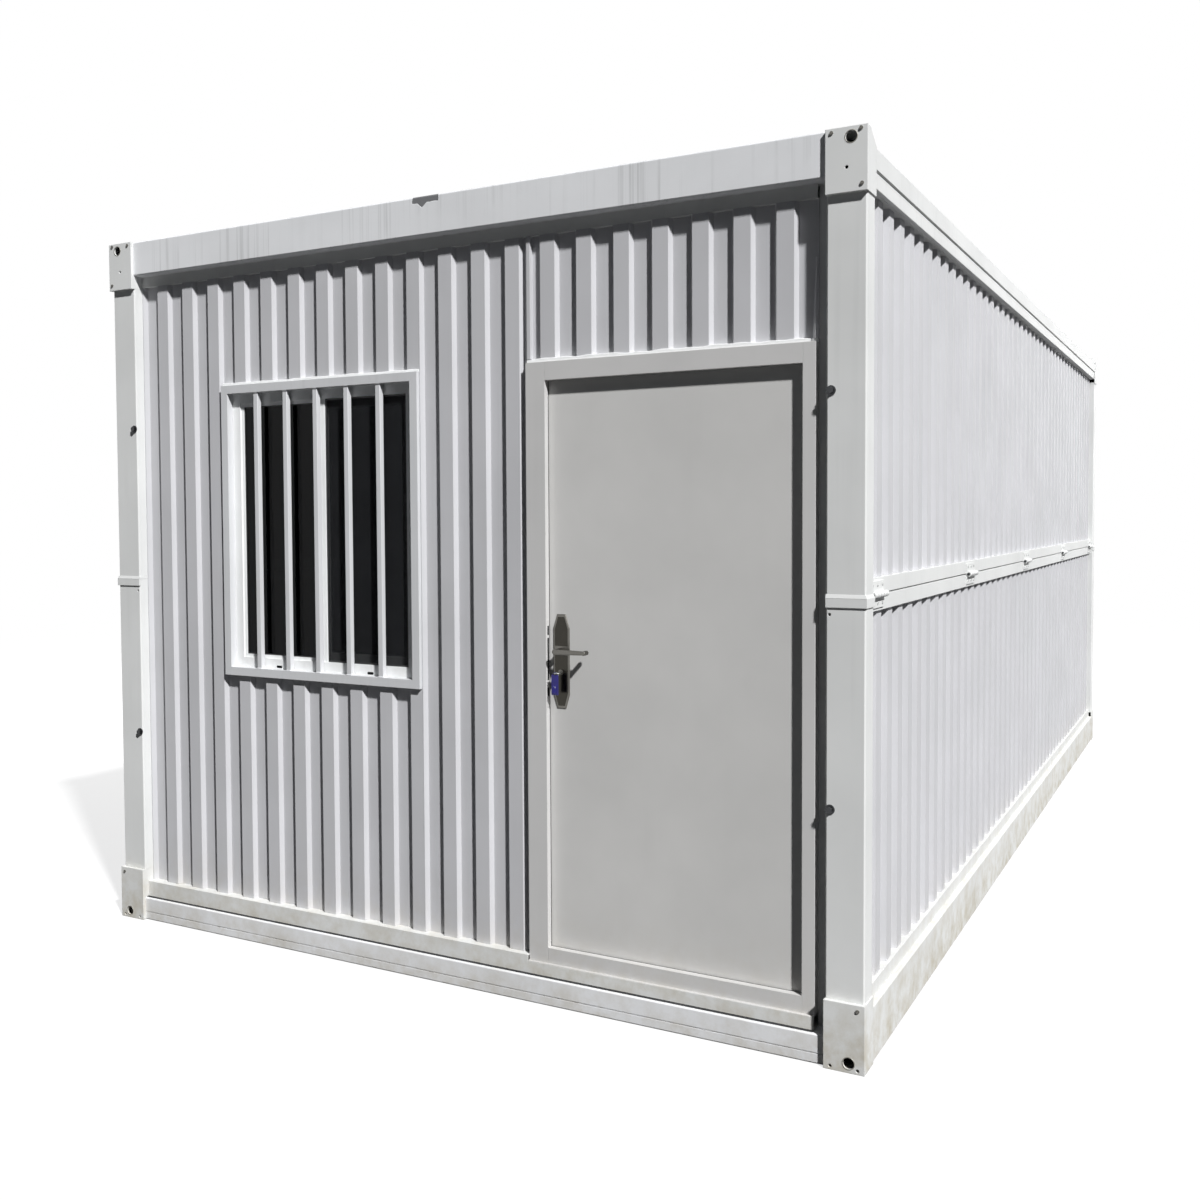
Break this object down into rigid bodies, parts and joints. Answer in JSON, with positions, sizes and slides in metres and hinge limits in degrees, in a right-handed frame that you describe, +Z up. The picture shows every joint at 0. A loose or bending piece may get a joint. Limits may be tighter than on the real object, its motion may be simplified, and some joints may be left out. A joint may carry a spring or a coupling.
{
  "type": "foldable container house",
  "caption": "Flat-roofed steel cabin with split folding side walls, ribbed panels, corner blocks, a barred sliding window and an inward-opening door in one end.",
  "frame": {"origin": "under the middle of the house, on the ground", "axes": "+Z up, the door end faces -Y, +X to the right when facing the door"},
  "size_m": [3, 6, 2.67],
  "materials": {
    "painted_frame": "semi-gloss white-grey paint",
    "ribbed_sheet": "coil-coated satin white-grey",
    "roof_sheet": "coil-coated satin white-grey",
    "ceiling": "satin white",
    "floor_board": "sealed board",
    "joist_steel": "galvanised",
    "door_paint": "satin warm grey",
    "door_frame_paint": "satin light grey",
    "hinge_steel": "zinc plated",
    "lock_steel": "polished stainless",
    "window_paint": "gloss white",
    "window_glass": "clear float glass"
  },
  "bodies": {
    "house": {"base_corner_blocks": "painted_frame", "base_side_rails": "painted_frame", "base_end_rails": "painted_frame", "roof_corner_blocks": "painted_frame", "roof_side_rails": "painted_frame", "roof_end_rails": "painted_frame", "lower_posts": "painted_frame", "upper_posts": "painted_frame", "lower_wall_rails": "painted_frame", "upper_wall_rails": "painted_frame", "front_foot_rail": "painted_frame", "front_head_rail": "painted_frame", "rear_wall_rails": "painted_frame", "door_stile": "painted_frame", "fold_hinges": "painted_frame", "left_lower_sheet": "ribbed_sheet", "left_upper_sheet": "ribbed_sheet", "right_lower_sheet": "ribbed_sheet", "right_upper_sheet": "ribbed_sheet", "front_left_sheet": "ribbed_sheet", "window_head_sheet": "ribbed_sheet", "window_apron_sheet": "ribbed_sheet", "front_middle_sheet": "ribbed_sheet", "door_head_sheet": "ribbed_sheet", "rear_sheet": "ribbed_sheet", "roof_sheet": "roof_sheet", "ceiling_board": "ceiling", "floor_board": "floor_board", "floor_joists": "joist_steel", "door_jambs": "door_frame_paint", "door_head": "door_frame_paint", "door_sill": "door_frame_paint", "door_frame_hinges": "hinge_steel", "window_guard_stiles": "window_paint", "window_guard_rails": "window_paint", "window_frame": "window_paint", "window_sashes": "window_paint", "window_glass": "window_glass"},
    "door": {"door_leaf": "door_paint", "door_leaf_hinges": "hinge_steel", "lock_plates": "lock_steel"},
    "lever": {"door_lever": "lock_steel"}
  },
  "joints": [
    {"name": "door_hinge", "type": "hinge", "parent": "house", "child": "door", "pos_m": [1.3145, -2.874, 1.1065], "axis": [0, 0, -1], "range_deg": [0, 90]},
    {"name": "lever_turn", "type": "hinge", "parent": "door", "child": "lever", "pos_m": [0.49, -2.908, 1.158], "axis": [0, 1, 0], "range_deg": [0, 45], "stiffness_Nm_per_rad": 1.5}
  ]
}
